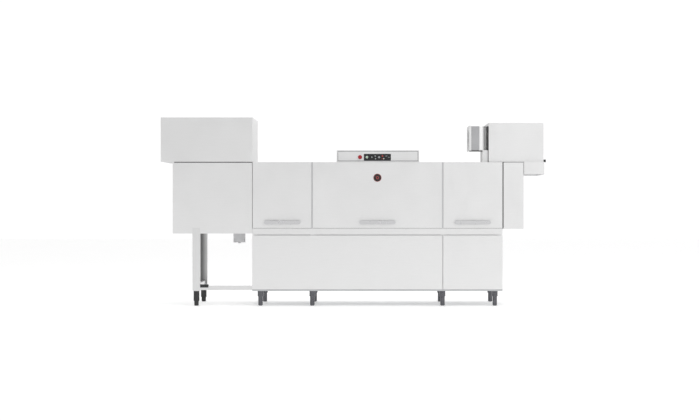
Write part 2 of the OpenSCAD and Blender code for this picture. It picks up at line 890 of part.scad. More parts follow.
module condenser_casing() {
    color(steel) placed() difference() {
        union() {
            block([cond_x0, cond_y0, cond_z0], [cond_x1, rear_y, cond_z1]);
            // Plinth on the roof
            block([cond_x0 + 20, -300, roof_z], [half_l - 10, 300, cond_z0 + past]);
        }
        block([cond_x0 + sheet, cond_y0 + sheet, cond_z0 + sheet],
              [cond_x1 - sheet, rear_y - sheet, cond_z1 - sheet]);
        // Steam enters from below and leaves through the round port on the left
        block([steam_x[0], -180, cond_z0 - past], [steam_x[1], 180, cond_z0 + 2 * sheet]);
        block([entry_x1 + 40, -180, cond_z0 - past], [cond_x1 - 60, 180, cond_z0 + 2 * sheet]);
        rod_x(95, cond_x0 - past, cond_x0 + 2 * sheet, exhaust_y, exhaust_z);
        rod_x(4 + fit, cond_x1 - 2 * sheet, cond_x1 + past, knob_y, knob_z);
    }
}

module condenser_coil() {
    color([0.72, 0.45, 0.30]) placed() fin_block([1240, -270, 1600], [1690, 330, 1880], 14);
}

exhaust_y = -105;
exhaust_z = 1762;
exhaust_x0 = 968;
port_r = 105;

// Fan box with an outlet flange on its left and a riser that stands on the roof
module exhaust_housing() {
    x_body = exhaust_x0 + 21;
    x_round = cond_x0 - 96;
    color(dull_steel) placed() difference() {
        union() {
            block([exhaust_x0, -330, 1631], [x_body, 120, 1893]);
            block([x_body, -322, 1637], [x_round, 112, 1887]);
            translate([0, 0, 1637]) linear_extrude(250) {
                intersection() {
                    translate([x_round, -232]) circle(r = 90);
                    translate([x_round, -322]) square([90, 90]);
                }
                translate([x_round, -232]) square([90, 344]);
            }
            block([x_round + 88, -300, 1645], [cond_x0, 90, 1880]);
            block([cond_x0 - 62, -300, roof_z], [cond_x0 - 5, 60, 1638]);
        }
        rod_x(port_r, x_body + 4, cond_x0 - 20, exhaust_y, exhaust_z);
        rod_x(95, cond_x0 - 25, cond_x0 + past, exhaust_y, exhaust_z);
        rod_x(95, exhaust_x0 - past, x_body + 5, exhaust_y, exhaust_z);
        for (y = [-1, 1], z = [-1, 1])
            rod_x(4.5, exhaust_x0 - past, x_body + past, exhaust_y + 200 * y, exhaust_z + 110 * z);
    }
    // Spider that carries the wheel's spindle
    color(dull_steel) placed() difference() {
        union() {
            rod_x(24, 1128, 1146, exhaust_y, exhaust_z);
            for (a = [0, 90]) translate([1130, exhaust_y, exhaust_z]) rotate([a, 0, 0])
                block([0, -port_r - 1, -6], [14, port_r + 1, 6]);
        }
        rod_x(8 + fit, 1120, 1150, exhaust_y, exhaust_z);
    }
}

module exhaust_fan() {
    blades = 9;
    color(black) placed() translate([0, exhaust_y, exhaust_z]) {
        rod_x(30, 1000, 1050, 0, 0);
        for (i = [0 : blades - 1]) translate([1002, 0, 0]) rotate([i * 360 / blades, 0, 0])
            translate([0, 20, 0]) rotate([0, 35, 0]) cube([40, 76, 3]);
        rod_x(8, 1050, 1140, 0, 0);
    }
}

knob_y = -250;
knob_z = 1524;

module clamp_knob() {
    color(black) placed() {
        rod_x(10, cond_x1 + gap, cond_x1 + 12, knob_y, knob_z);
        rod_x(15, cond_x1 + 12, knob_x1, knob_y, knob_z);
        rod_x(4, cond_x1 - 12, cond_x1 + 2, knob_y, knob_z);
        for (a = [0 : 60 : 300]) translate([cond_x1 + 14, knob_y, knob_z]) rotate([a, 0, 0])
            rod_x(3, 0, 17, 13.5, 0);
    }
}

// ---------- controls ----------

ctrl_x0 = -429;
ctrl_y0 = front_y + 55;
ctrl_z0 = roof_z + 2;
display_x = [-142, 142];
display_z = [1525, 1596];
stop_x = -183;
button_x = -110;
button_z = 1561;
bezel = 10;

module control_housing() {
    x1 = ctrl_x0 + ctrl_w;
    face_y = ctrl_y0 + 6;
    color(steel) placed() difference() {
        union() {
            block([ctrl_x0, ctrl_y0, ctrl_z0], [x1, ctrl_y0 + 300, ctrl_z1]);
            block([ctrl_x0 + 20, ctrl_y0 + 20, roof_z], [x1 - 20, ctrl_y0 + 280, ctrl_z0 + past]);
        }
        block([ctrl_x0 + bezel, ctrl_y0 - past, ctrl_z0 + bezel], [x1 - bezel, face_y, ctrl_z1 - bezel]);
        block([ctrl_x0 + sheet, face_y + 3, ctrl_z0 + sheet],
              [x1 - sheet, ctrl_y0 + 300 - sheet, ctrl_z1 - sheet]);
        block([ctrl_x0 + 60, ctrl_y0 + 60, roof_z - past], [x1 - 60, ctrl_y0 + 240, ctrl_z0 + 5]);
        rod_y(8 + fit, ctrl_y0, ctrl_y0 + 20, stop_x, button_z);
        rod_y(8 + fit, ctrl_y0, ctrl_y0 + 20, button_x, button_z);
    }
}

module display() {
    color(black) placed() difference() {
        rounded_plate_y(display_x[0], display_x[1], display_z[0], display_z[1],
                        ctrl_y0 + 2, ctrl_y0 + 6, 5);
        rod_y(12.8, ctrl_y0, ctrl_y0 + 8, button_x, button_z);
    }
}

module e_stop_button() {
    color([0.62, 0.10, 0.14]) placed() {
        // Low enough for the lifted wash door to pass in front
        rod_y(21, ctrl_y0 - 12, ctrl_y0 - 5, stop_x, button_z);
        translate([stop_x, ctrl_y0 - 12, button_z]) rotate([90, 0, 0])
            cylinder(r1 = 21, r2 = 18, h = 2.5);
        rod_y(14, ctrl_y0 - 5, ctrl_y0, stop_x, button_z);
        rod_y(8, ctrl_y0, ctrl_y0 + 22, stop_x, button_z);
    }
}

module start_button() {
    color(white_plastic) placed() {
        rod_y(12.5, ctrl_y0 - 1, ctrl_y0 + 4, button_x, button_z);
        rod_y(8, ctrl_y0 + 4, ctrl_y0 + 18, button_x, button_z);
    }
}

module badge() {
    color([0.36, 0.14, 0.12]) placed() {
        rod_y(42, front_y - 2, front_y, 0, 1344);
        difference() {
            rod_y(42, front_y - 4, front_y - 2, 0, 1344);
            rod_y(38, front_y - 5, front_y - 1, 0, 1344);
        }
    }
}

// ---------- nodes ----------

base_frame();
frame_posts();
main_feet();
lower_panel_left();
lower_panel_right();
rear_end_panels();
tunnel_hood();
wash_tank();
prewash_tank();
rinse_tray();
tank_strainers();
tank_heater();
spray_arms();
pump_casings();
pump_motors();
wash_impeller();
prewash_impeller();
booster_boiler();
drain_pipe();
water_inlet();
conveyor_rails();
drive_carriage();
front_pawl();
rear_pawl();
gearmotor();
drive_pinion();
rinse_door();
wash_door();
prewash_door();
rinse_handle();
wash_handle();
prewash_handle();
rinse_drum();
wash_drum();
prewash_drum();
dryer_tunnel();
dryer_casing();
dryer_leg_frame();
dryer_feet();
dryer_fan();
dryer_motor();
dryer_heater();
dryer_junction_box();
condenser_casing();
condenser_coil();
exhaust_housing();
exhaust_fan();
entry_hood();
entry_canopy();
entry_curtain();
wash_curtain();
rinse_curtain();
exit_curtain();
control_housing();
display();
e_stop_button();
start_button();
badge();
clamp_knob();
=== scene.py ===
"""Looks of the rack-conveyor dishwasher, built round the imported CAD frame. Metres throughout."""
import math

import bmesh
import bpy
from mathutils import Matrix, Vector


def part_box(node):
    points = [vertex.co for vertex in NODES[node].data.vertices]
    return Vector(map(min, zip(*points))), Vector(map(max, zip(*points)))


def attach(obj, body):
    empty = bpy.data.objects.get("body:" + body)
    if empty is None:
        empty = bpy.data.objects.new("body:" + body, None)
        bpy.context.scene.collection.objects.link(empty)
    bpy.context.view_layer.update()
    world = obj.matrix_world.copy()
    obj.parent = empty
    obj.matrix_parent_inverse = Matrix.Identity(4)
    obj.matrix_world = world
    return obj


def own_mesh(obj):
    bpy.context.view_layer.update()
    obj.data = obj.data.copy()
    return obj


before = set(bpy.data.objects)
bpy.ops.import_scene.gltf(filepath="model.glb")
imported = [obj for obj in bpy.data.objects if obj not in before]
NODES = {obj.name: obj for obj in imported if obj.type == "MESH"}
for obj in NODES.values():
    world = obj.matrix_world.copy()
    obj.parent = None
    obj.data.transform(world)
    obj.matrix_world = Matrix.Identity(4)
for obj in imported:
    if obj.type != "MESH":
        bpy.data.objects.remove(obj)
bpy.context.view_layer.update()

scene = bpy.context.scene

BACKDROP_STRENGTH = 1.05
MIRRORED_STRENGTH = 0.93
MIRRORED_LEFT = 0.58        # the mirrored room's left side, as a share of its right side
FLOOR_GLOW = 0.3
CAMERA_DISTANCE = 17.39
CAMERA_HEIGHT = 1.10
TAPE_CLIP_Z = 1.0005        # where the balance tape meets the clip on its door
FAN_FLANGE_BOTTOM = 1.631   # underside of the exhaust fan box's flange
BRACE_TOP = 0.2112          # just over the dryer's front brace


# ---------- camera, floor and light ----------

def add_camera():
    """Front view from far away, level, with the shift that the framing needs."""
    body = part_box("tunnel_hood")
    middle = (body[0][0] + body[1][0]) / 2
    data = bpy.data.cameras.new("camera")
    data.lens = 83.3
    data.sensor_width = 36
    data.shift_x = -0.0371
    data.shift_y = -0.0129
    data.clip_end = 100
    camera = bpy.data.objects.new("camera", data)
    scene.collection.objects.link(camera)
    camera.location = (middle - 0.015, -CAMERA_DISTANCE, CAMERA_HEIGHT)
    camera.rotation_euler = (math.radians(90), 0, 0)
    scene.camera = camera


def area_light(name, place, target, size, power):
    data = bpy.data.lights.new(name, "AREA")
    data.shape = "RECTANGLE"
    data.size, data.size_y = size
    data.energy = power
    light = bpy.data.objects.new(name, data)
    scene.collection.objects.link(light)
    light.location = place
    aim = Vector(target) - Vector(place)
    light.rotation_euler = aim.to_track_quat("-Z", "Y").to_euler()


def add_world():
    scene.view_settings.view_transform = "Standard"
    world = bpy.data.worlds.new("studio")
    scene.world = world
    world.use_nodes = True
    nodes, links = world.node_tree.nodes, world.node_tree.links
    seen = nodes["Background"]
    seen.inputs["Color"].default_value = (1, 1, 1, 1)
    seen.inputs["Strength"].default_value = BACKDROP_STRENGTH
    # The room that the steel mirrors is a little darker than the backdrop, most so on the left
    mirrored = nodes.new("ShaderNodeBackground")
    mirrored.inputs["Strength"].default_value = MIRRORED_STRENGTH
    split = nodes.new("ShaderNodeSeparateXYZ")
    links.new(nodes.new("ShaderNodeTexCoord").outputs["Generated"], split.inputs["Vector"])
    span = nodes.new("ShaderNodeMapRange")
    span.inputs["From Min"].default_value = -0.5
    span.inputs["From Max"].default_value = 0.5
    links.new(split.outputs["X"], span.inputs["Value"])
    ramp = nodes.new("ShaderNodeValToRGB")
    ramp.color_ramp.elements[0].color = (*[MIRRORED_LEFT] * 3, 1)
    ramp.color_ramp.elements[1].color = (1, 1, 1, 1)
    links.new(span.outputs["Result"], ramp.inputs["Fac"])
    links.new(ramp.outputs["Color"], mirrored.inputs["Color"])
    choose = nodes.new("ShaderNodeMixShader")
    links.new(nodes.new("ShaderNodeLightPath").outputs["Is Camera Ray"], choose.inputs["Fac"])
    links.new(mirrored.outputs["Background"], choose.inputs[1])
    links.new(seen.outputs["Background"], choose.inputs[2])
    links.new(choose.outputs["Shader"], nodes["World Output"].inputs["Surface"])


def add_floor():
    mesh = bpy.data.meshes.new("floor")
    half = 30
    mesh.from_pydata([(-half, -half, 0), (half, -half, 0), (half, half, 0), (-half, half, 0)],
                     [], [(0, 1, 2, 3)])
    floor = bpy.data.objects.new("floor", mesh)
    scene.collection.objects.link(floor)
    shader = Material("floor_paint", (0.93, 0.93, 0.93), 0.6)
    shader.vary_colour(scale=1.5, amount=0.01)
    shader.wear(scale=9, low=0.5, high=0.7)
    # A little glow keeps the far floor as white as the backdrop
    shader.shader.inputs["Emission Color"].default_value = (1, 1, 1, 1)
    shader.shader.inputs["Emission Strength"].default_value = FLOOR_GLOW
    mesh.materials.append(shader.data)


# ---------- materials ----------

class Material:
    """A Principled material whose colour, roughness and bump come from noise in object space."""

    def __init__(self, name, colour, roughness, metallic=0.0):
        self.data = bpy.data.materials.new(name)
        self.data.use_nodes = True
        self.nodes = self.data.node_tree.nodes
        self.links = self.data.node_tree.links
        self.shader = self.nodes["Principled BSDF"]
        self.colour = colour
        self.shader.inputs["Base Color"].default_value = (*colour, 1)
        self.shader.inputs["Roughness"].default_value = roughness
        self.shader.inputs["Metallic"].default_value = metallic
        self.place = self.nodes.new("ShaderNodeTexCoord").outputs["Object"]
        self.bumps = None

    def noise(self, scale, stretch=(1, 1, 1), detail=3.0):
        mapping = self.nodes.new("ShaderNodeMapping")
        mapping.inputs["Scale"].default_value = stretch
        texture = self.nodes.new("ShaderNodeTexNoise")
        texture.inputs["Scale"].default_value = scale
        texture.inputs["Detail"].default_value = detail
        self.links.new(self.place, mapping.inputs["Vector"])
        self.links.new(mapping.outputs["Vector"], texture.inputs["Vector"])
        return texture.outputs["Fac"]

    def ramp(self, fac, low, high, start=0.3, end=0.7):
        ramp = self.nodes.new("ShaderNodeValToRGB")
        ramp.color_ramp.elements[0].position = start
        ramp.color_ramp.elements[1].position = end
        ramp.color_ramp.elements[0].color = (*low, 1)
        ramp.color_ramp.elements[1].color = (*high, 1)
        self.links.new(fac, ramp.inputs["Fac"])
        return ramp.outputs["Color"]

    def vary_colour(self, scale, amount, stretch=(1, 1, 1)):
        low = [max(0, c - amount) for c in self.colour]
        high = [min(1, c + amount) for c in self.colour]
        colour = self.ramp(self.noise(scale, stretch), low, high)
        self.links.new(colour, self.shader.inputs["Base Color"])
        return self

    def wear(self, scale, low, high, stretch=(1, 1, 1)):
        span = self.nodes.new("ShaderNodeMapRange")
        span.inputs["From Min"].default_value = 0.3
        span.inputs["From Max"].default_value = 0.7
        span.inputs["To Min"].default_value = low
        span.inputs["To Max"].default_value = high
        self.links.new(self.noise(scale, stretch), span.inputs["Value"])
        self.links.new(span.outputs["Result"], self.shader.inputs["Roughness"])
        return self

    def bump(self, scale, depth, strength=0.3, stretch=(1, 1, 1)):
        node = self.nodes.new("ShaderNodeBump")
        node.inputs["Strength"].default_value = strength
        node.inputs["Distance"].default_value = depth
        self.links.new(self.noise(scale, stretch, 2.0), node.inputs["Height"])
        if self.bumps:
            self.links.new(self.bumps, node.inputs["Normal"])
        self.bumps = node.outputs["Normal"]
        self.links.new(self.bumps, self.shader.inputs["Normal"])
        return self


# Brushing runs along X on the casings, so the noise is squeezed across it
BRUSH_ALONG_X = (1.2, 90, 90)
BRUSH_ALONG_Z = (90, 90, 1.2)


def brushed(name, colour, low, high, stretch=BRUSH_ALONG_X):
    """Satin stainless sheet: fine brush lines, faint sheet tone and handling smears."""
    steel = Material(name, colour, (low + high) / 2, metallic=0.85)
    steel.vary_colour(7, 0.012, stretch)
    steel.wear(5, low, high, (1, 1, 0.6))
    steel.bump(9, 0.0004, 0.10, stretch)
    steel.bump(2.2, 0.004, 0.05)
    return steel


def make_materials():
    made = {
        "panel": brushed("satin_steel", (0.80, 0.80, 0.80), 0.30, 0.42),
        "dull": brushed("mill_steel", (0.52, 0.53, 0.54), 0.36, 0.52),
        "tank": brushed("tank_steel", (0.62, 0.63, 0.64), 0.28, 0.44),
        "post": brushed("leg_steel", (0.74, 0.74, 0.74), 0.30, 0.44, BRUSH_ALONG_Z),
        "handle": Material("handle_steel", (0.64, 0.64, 0.65), 0.3, 0.9)
        .vary_colour(40, 0.010, BRUSH_ALONG_X).wear(30, 0.26, 0.34).bump(220, 0.0001, 0.05),
        "mullion": brushed("mullion_steel", (0.60, 0.60, 0.61), 0.34, 0.44, BRUSH_ALONG_Z),
        "trim": Material("trim_grey", (0.30, 0.30, 0.31), 0.6)
        .vary_colour(18, 0.02).wear(16, 0.5, 0.7).bump(180, 0.0003, 0.2),
        "polished": Material("polished_steel", (0.12, 0.12, 0.13), 0.16, 1.0)
        .vary_colour(30, 0.035, BRUSH_ALONG_Z).wear(14, 0.12, 0.26).bump(60, 0.0003, 0.1),
        "black": Material("black_plastic", (0.022, 0.022, 0.023), 0.45)
        .vary_colour(12, 0.006).wear(20, 0.38, 0.56).bump(260, 0.0003, 0.25),
        # Black rubber, also used for gaskets and a strip whose dark colour paints shade in joints
        # and under the fan box
        "seal": Material("seal_rubber_and_painted_shade", (0.030, 0.030, 0.032), 0.7)
        .vary_colour(18, 0.008).wear(16, 0.6, 0.82).bump(180, 0.0003, 0.25),
        "curtain": Material("curtain_rubber", (0.055, 0.060, 0.066), 0.5)
        .vary_colour(6, 0.015, (1, 1, 0.3)).wear(8, 0.35, 0.6).bump(40, 0.0006, 0.3),
        "cast": Material("cast_casing", (0.34, 0.35, 0.36), 0.5, 0.6)
        .vary_colour(15, 0.04).wear(30, 0.42, 0.66).bump(220, 0.0006, 0.4),
        "motor": Material("motor_enamel", (0.13, 0.17, 0.22), 0.4)
        .vary_colour(9, 0.02).wear(12, 0.32, 0.5).bump(150, 0.0003, 0.2),
        "box": Material("grey_enamel", (0.64, 0.64, 0.65), 0.45)
        .vary_colour(9, 0.02).wear(12, 0.38, 0.55).bump(150, 0.0003, 0.2),
        "wrap": Material("grey_wrap", (0.40, 0.40, 0.41), 0.5)
        .vary_colour(9, 0.02).wear(12, 0.42, 0.6).bump(150, 0.0003, 0.2),
        "brass": Material("brass", (0.70, 0.49, 0.20), 0.3, 1.0)
        .vary_colour(20, 0.05).wear(25, 0.22, 0.42).bump(90, 0.0003, 0.15),
        "fins": Material("coil_fins", (0.66, 0.62, 0.58), 0.4, 0.9)
        .vary_colour(40, 0.05).wear(25, 0.32, 0.5).bump(140, 0.0004, 0.3),
        "glass": Material("display_glass", (0.012, 0.012, 0.013), 0.12)
        .vary_colour(4, 0.003).wear(6, 0.08, 0.18).bump(30, 0.0002, 0.03),
        "red": Material("stop_red", (0.36, 0.012, 0.026), 0.3)
        .vary_colour(16, 0.02).wear(20, 0.24, 0.42).bump(200, 0.0002, 0.15),
        "badge": Material("badge_black", (0.016, 0.015, 0.015), 0.28)
        .vary_colour(26, 0.005).wear(20, 0.2, 0.4).bump(200, 0.0002, 0.1),
        "white": Material("key_white", (0.80, 0.83, 0.78), 0.35)
        .vary_colour(30, 0.03).wear(20, 0.28, 0.45).bump(200, 0.0002, 0.1),
        "grey_key": Material("key_grey", (0.34, 0.35, 0.36), 0.35)
        .vary_colour(30, 0.03).wear(20, 0.28, 0.45).bump(200, 0.0002, 0.1),
        "red_key": Material("key_red", (0.50, 0.05, 0.04), 0.35)
        .vary_colour(30, 0.03).wear(20, 0.28, 0.45).bump(200, 0.0002, 0.1),
        "green_key": Material("key_green", (0.10, 0.42, 0.12), 0.35)
        .vary_colour(30, 0.03).wear(20, 0.28, 0.45).bump(200, 0.0002, 0.1),
    }
    # The dryer legs' steel carries painted shade inside the rear leg's channel
    made["leg"] = brushed("dryer_leg_steel_painted_shade", (0.74, 0.74, 0.74), 0.30, 0.44, BRUSH_ALONG_Z)
    paint_shade_in_rear_leg(made["leg"])
    return {name: material.data for name, material in made.items()}


def paint_shade_in_rear_leg(steel):
    """Painted shade inside the rear leg's channel: dark on its left and paler on its right."""
    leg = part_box("dryer_leg_frame")
    nodes, links = steel.nodes, steel.links

    def step(value, low, high):
        span = nodes.new("ShaderNodeMapRange")
        span.inputs["From Min"].default_value = low
        span.inputs["From Max"].default_value = high
        links.new(value, span.inputs["Value"])
        return span.outputs["Result"]

    place = nodes.new("ShaderNodeSeparateXYZ")
    links.new(steel.place, place.inputs["Vector"])
    facing = nodes.new("ShaderNodeSeparateXYZ")
    links.new(nodes.new("ShaderNodeNewGeometry").outputs["Normal"], facing.inputs["Vector"])
    # Only the rear leg's front-facing inner face takes the painted shade
    inside = nodes.new("ShaderNodeMath")
    inside.operation = "MULTIPLY"
    links.new(step(place.outputs["Y"], 0.30, 0.31), inside.inputs[0])
    links.new(step(facing.outputs["Y"], -0.4, -0.6), inside.inputs[1])
    # Painted shade across the leg: dark at its left edge, paler towards its right
    across = step(place.outputs["X"], leg[0][0], leg[0][0] + 0.08)
    shade = steel.ramp(across, (0.20, 0.20, 0.20), (0.66, 0.66, 0.66), 0.3, 1.0)
    mix = nodes.new("ShaderNodeMix")
    mix.data_type = "RGBA"
    links.new(inside.outputs["Value"], mix.inputs["Factor"])
    plain = steel.shader.inputs["Base Color"].links[0].from_socket
    links.new(plain, mix.inputs[6])
    links.new(shade, mix.inputs[7])
    links.new(mix.outputs[2], steel.shader.inputs["Base Color"])


NODE_LOOK = {
    "panel": ["lower_panel_left", "lower_panel_right", "rear_end_panels", "tunnel_hood",
              "rinse_door", "wash_door", "prewash_door", "dryer_tunnel", "dryer_casing",
              "condenser_casing", "entry_hood", "entry_canopy", "control_housing",
              "exhaust_housing"],
    "tank": ["wash_tank", "prewash_tank", "rinse_tray", "tank_strainers", "spray_arms",
             "conveyor_rails", "drive_carriage", "tank_heater"],
    "post": ["frame_posts"],
    "leg": ["dryer_leg_frame"],
    "dull": ["base_frame", "dryer_fan", "dryer_heater"],
    "handle": ["rinse_handle", "wash_handle", "prewash_handle"],
    "polished": ["main_feet", "booster_boiler", "wash_impeller", "prewash_impeller",
                 "front_pawl", "rear_pawl", "drive_pinion"],
    "black": ["drain_pipe", "rinse_drum", "wash_drum", "prewash_drum", "dryer_feet",
              "exhaust_fan", "clamp_knob"],
    "cast": ["pump_casings"],
    "motor": ["pump_motors", "gearmotor", "dryer_motor"],
    "box": ["dryer_junction_box"],
    "brass": ["water_inlet"],
    "fins": ["condenser_coil"],
    "curtain": ["entry_curtain", "wash_curtain", "rinse_curtain", "exit_curtain"],
    "glass": ["display"],
    "red": ["e_stop_button"],
    "white": ["start_button"],
    "badge": ["badge"],
}
EDGE_ROUNDING = {"panel": 0.0012, "post": 0.0012, "leg": 0.0012, "handle": 0.0045, "box": 0.003,
                 "dull": 0.001, "red": 0.002, "black": 0.0012, "motor": 0.002,
                 "badge": 0.0006, "white": 0.0008, "glass": 0.0006}
THIN = ("dryer_fan", "dryer_heater", "exhaust_fan", "tunnel_hood")


def dress_nodes():
    """Gives every CAD node its material, and rounds the edges of what is seen from outside."""
    for look, names in NODE_LOOK.items():
        for name in names:
            node = NODES[name]
            node.data.materials.clear()
            node.data.materials.append(LOOK[look])
            if look in EDGE_ROUNDING and name not in THIN:
                bevel = node.modifiers.new("edge", "BEVEL")
                bevel.width = EDGE_ROUNDING[look]
                bevel.segments = 3 if look in ("handle", "red") else 2
                bevel.limit_method = "ANGLE"
                bevel.angle_limit = math.radians(50)
                bevel.harden_normals = True


# ---------- shapes for the added pieces ----------

def finish_piece(name, mesh, look, body):
    piece = bpy.data.objects.new(name, mesh)
    scene.collection.objects.link(piece)
    mesh.materials.append(LOOK[look])
    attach(piece, body)
    return piece


def from_bmesh(name, form, look, body, smooth=False):
    mesh = bpy.data.meshes.new(name)
    bmesh.ops.recalc_face_normals(form, faces=form.faces)
    form.to_mesh(mesh)
    form.free()
    if smooth:
        for face in mesh.polygons:
            face.use_smooth = True
    return finish_piece(name, mesh, look, body)


def add_box(form, low, high, rounding=0.0):
    """Box with rounded edges, added to a bmesh."""
    made = bmesh.ops.create_cube(form, size=1)
    size = Vector(high) - Vector(low)
    middle = (Vector(high) + Vector(low)) / 2
    bmesh.ops.scale(form, vec=size, verts=made["verts"])
    bmesh.ops.translate(form, vec=middle, verts=made["verts"])
    if rounding:
        edges = list({e for v in made["verts"] for e in v.link_edges})
        bmesh.ops.bevel(form, geom=edges, offset=rounding, segments=2, affect="EDGES")


def add_lathe(form, profile, place, axis, steps=24):
    """Turned shape: profile is (radius, height) pairs from the bottom to the top."""
    turn = Vector((0, 0, 1)).rotation_difference(Vector(axis)).to_matrix().to_4x4()
    matrix = Matrix.Translation(place) @ turn
    rings = []
    for radius, height in profile:
        ring = [form.verts.new(matrix @ Vector((radius * math.cos(a), radius * math.sin(a), height)))
                for a in (2 * math.pi * i / steps for i in range(steps))]
        rings.append(ring)
    for lower, upper in zip(rings, rings[1:]):
        for i in range(steps):
            j = (i + 1) % steps
            form.faces.new((lower[i], lower[j], upper[j], upper[i]))
    form.faces.new(rings[0][::-1])
    form.faces.new(rings[-1])


def add_frame(form, low, high, width, axis):
    """Rectangular ring in the plane across axis, made of four bars."""
    a, b = [i for i in range(3) if i != axis]
    for side in (0, 1):
        bar_low, bar_high = list(low), list(high)
        bar_low[a] = low[a] if side == 0 else high[a] - width
        bar_high[a] = low[a] + width if side == 0 else high[a]
        add_box(form, bar_low, bar_high)
        bar_low, bar_high = list(low), list(high)
        bar_low[a], bar_high[a] = low[a] + width, high[a] - width
        bar_low[b] = low[b] if side == 0 else high[b] - width
        bar_high[b] = low[b] + width if side == 0 else high[b]
        add_box(form, bar_low, bar_high)


def add_frame_tube(form, low, high, wall):
    """Thin rectangular sleeve along X."""
    add_box(form, low, (high[0], low[1] + wall, high[2]))
    add_box(form, (low[0], high[1] - wall, low[2]), high)
    add_box(form, (low[0], low[1] + wall, low[2]), (high[0], high[1] - wall, low[2] + wall))
    add_box(form, (low[0], low[1] + wall, high[2] - wall), (high[0], high[1] - wall, high[2]))


# ---------- seals ----------

def add_seals():
    """Strips and seals of the doors, and black gaskets at the entry hood and the blower casing whose
    dark colour also paints the shade in those recessed joints.
    """
    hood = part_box("tunnel_hood")
    rinse, wash, prewash = (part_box(n) for n in ("rinse_door", "wash_door", "prewash_door"))
    entry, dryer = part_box("entry_hood"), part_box("dryer_tunnel")
    back = wash[0][1] + 0.039
    # Strips that fill the gaps between the doors
    form = bmesh.new()
    for left, right in ((rinse, wash), (wash, prewash)):
        add_box(form, (left[1][0] + 0.0006, wash[0][1] + 0.009, wash[0][2] - 0.002),
                (right[0][0] - 0.0006, back + 0.0028, wash[1][2] - 0.002), 0.0008)
    from_bmesh("door_mullions", form, "mullion", "root")

    # Lip seal along the rail below the doors
    form = bmesh.new()
    add_box(form, (hood[0][0] + 0.01, wash[0][1] + 0.014, wash[0][2] - 0.0029),
            (prewash[1][0], back - 0.003, wash[0][2] - 0.0004), 0.0004)
    from_bmesh("door_seals", form, "seal", "root")

    # Black gasket in the entry hood's recessed joint; its dark colour also paints the shade in the
    # joint
    form = bmesh.new()
    inset = 0.014
    add_frame(form, (hood[1][0] + 0.0008, entry[0][1] + inset, entry[0][2] + 0.006),
              (hood[1][0] + 0.0082, entry[1][1] - inset, entry[1][2] - inset), 0.012, 0)
    from_bmesh("entry_gasket_painted_shade", form, "seal", "root")

    # Black gasket in the gap under the dryer casing; its dark colour also paints the shadow in the
    # gap
    form = bmesh.new()
    add_frame(form, (dryer[0][0] + inset, dryer[0][1] + inset, dryer[1][2] + 0.0004),
              (dryer[1][0] - inset, dryer[1][1] - inset, dryer[1][2] + 0.0086), 0.010, 2)
    from_bmesh("casing_gasket_painted_shade", form, "seal", "root")


def add_fan_box_trim():
    """Black gasket, grey band and black foot strip of the exhaust fan box; the gasket's dark colour
    also paints the shade at the joint, and the strip is a painted shadow line under the box.
    """
    fan_box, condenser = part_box("exhaust_housing"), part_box("condenser_casing")
    # Black gasket round the neck at the condenser; its dark colour also paints the shade in the neck
    form = bmesh.new()
    add_frame(form, (condenser[0][0] - 0.0078, fan_box[0][1] + 0.004, FAN_FLANGE_BOTTOM + 0.003),
              (condenser[0][0] - 0.0004, fan_box[1][1] - 0.004, fan_box[1][2] - 0.004), 0.014, 0)
    from_bmesh("fan_gasket_painted_shade", form, "seal", "root")

    # The band runs from the flange to where the box becomes round
    wrap = 0.0008
    flange_end, round_start = fan_box[0][0] + 0.022, condenser[0][0] - 0.0965
    low = (flange_end, fan_box[0][1] + 0.008 - wrap, FAN_FLANGE_BOTTOM + 0.006 - wrap)
    high = (round_start, fan_box[1][1] - 0.008 + wrap, fan_box[1][2] - 0.006 + wrap)
    form = bmesh.new()
    add_frame_tube(form, low, high, wrap)
    from_bmesh("fan_box_wrap", form, "wrap", "root")

    # Black strip under the flange: a painted shadow line along the box's underside
    form = bmesh.new()
    add_box(form, (fan_box[0][0] + 0.002, fan_box[0][1] + 0.009, FAN_FLANGE_BOTTOM - 0.0095),
            (condenser[0][0] - 0.064, fan_box[0][1] + 0.045, FAN_FLANGE_BOTTOM - 0.0002), 0.001)
    from_bmesh("fan_box_painted_shadow_strip", form, "seal", "root")


def add_brace_clamp():
    """Black clip over the front brace, beside the front leg."""
    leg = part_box("dryer_leg_frame")
    left, front, top = leg[0][0] + 0.082, leg[0][1] + 0.0065, BRACE_TOP
    right, crown = left + 0.086, top + 0.012
    form = bmesh.new()
    add_box(form, (left, front - 0.004, top - 0.020), (right, front - 0.0002, crown), 0.0015)
    add_box(form, (left, front - 0.001, top), (right, front + 0.034, crown), 0.0015)
    from_bmesh("brace_clamp", form, "black", "root")


# ---------- doors ----------

def add_tapes():
    """Flat steel tape from each drum to the clip on its door."""
    for zone in ("rinse", "wash", "prewash"):
        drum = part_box(zone + "_drum")
        middle = (drum[0][0] + drum[1][0]) / 2
        centre_y = (drum[0][1] + drum[1][1]) / 2
        centre_z = (drum[0][2] + drum[1][2]) / 2
        wound = 0.0222
        form = bmesh.new()
        add_box(form, (middle - 0.012, centre_y - wound - 0.0006, TAPE_CLIP_Z),
                (middle + 0.012, centre_y - wound, centre_z), 0.0001)
        tape = from_bmesh(zone + "_tape", form, "polished", "root")
        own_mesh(tape)


def add_handle_collars():
    """Collars where the handles' standoffs meet the doors."""
    for zone in ("rinse", "wash", "prewash"):
        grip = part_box(zone + "_handle")
        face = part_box(zone + "_door")[0][1]
        middle = (grip[0][0] + grip[1][0]) / 2
        height = (grip[0][2] + grip[1][2]) / 2
        form = bmesh.new()
        for side in (-1, 1):
            place = (middle + side * 0.15, face, height)
            add_lathe(form, [(0.0150, 0.0002), (0.0150, 0.003),
                             (0.0140, 0.0045), (0.0114, 0.0046)], place, (0, -1, 0))
        from_bmesh(zone + "_handle_collars", form, "handle", zone + "_door", True)


# ---------- controls ----------

